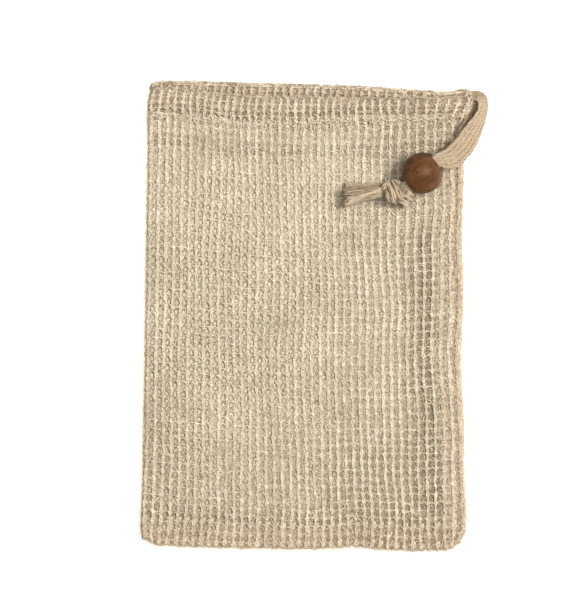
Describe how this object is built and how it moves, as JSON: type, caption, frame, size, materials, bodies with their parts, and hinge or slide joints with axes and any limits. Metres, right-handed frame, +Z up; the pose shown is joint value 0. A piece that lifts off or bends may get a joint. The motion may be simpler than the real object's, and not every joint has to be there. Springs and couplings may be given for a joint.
{
  "type": "soap pouch with drawstring and bead",
  "caption": "Flat open-mesh cotton soap pouch with a hemmed mouth, a tape drawstring, a turned wooden bead and a knot.",
  "frame": {"origin": "on the surface the pouch lies on, under the middle of its cloth", "axes": "+X from the fold to the side seam, +Y from the bottom seam to the mouth, +Z up from the surface"},
  "size_m": [0.103, 0.1378, 0.0156],
  "materials": {
    "mesh_cloth": "unbleached open cotton mesh",
    "tape": "unbleached cotton tape with a chevron weave",
    "wood": "brown stained wood with a low sheen"
  },
  "bodies": {
    "root": {"pouch": "mesh_cloth", "drawstring_in_channel": "tape", "tape_end_back": "tape", "tape_end_front": "tape", "bead": "wood", "knot": "tape"}
  },
  "joints": []
}
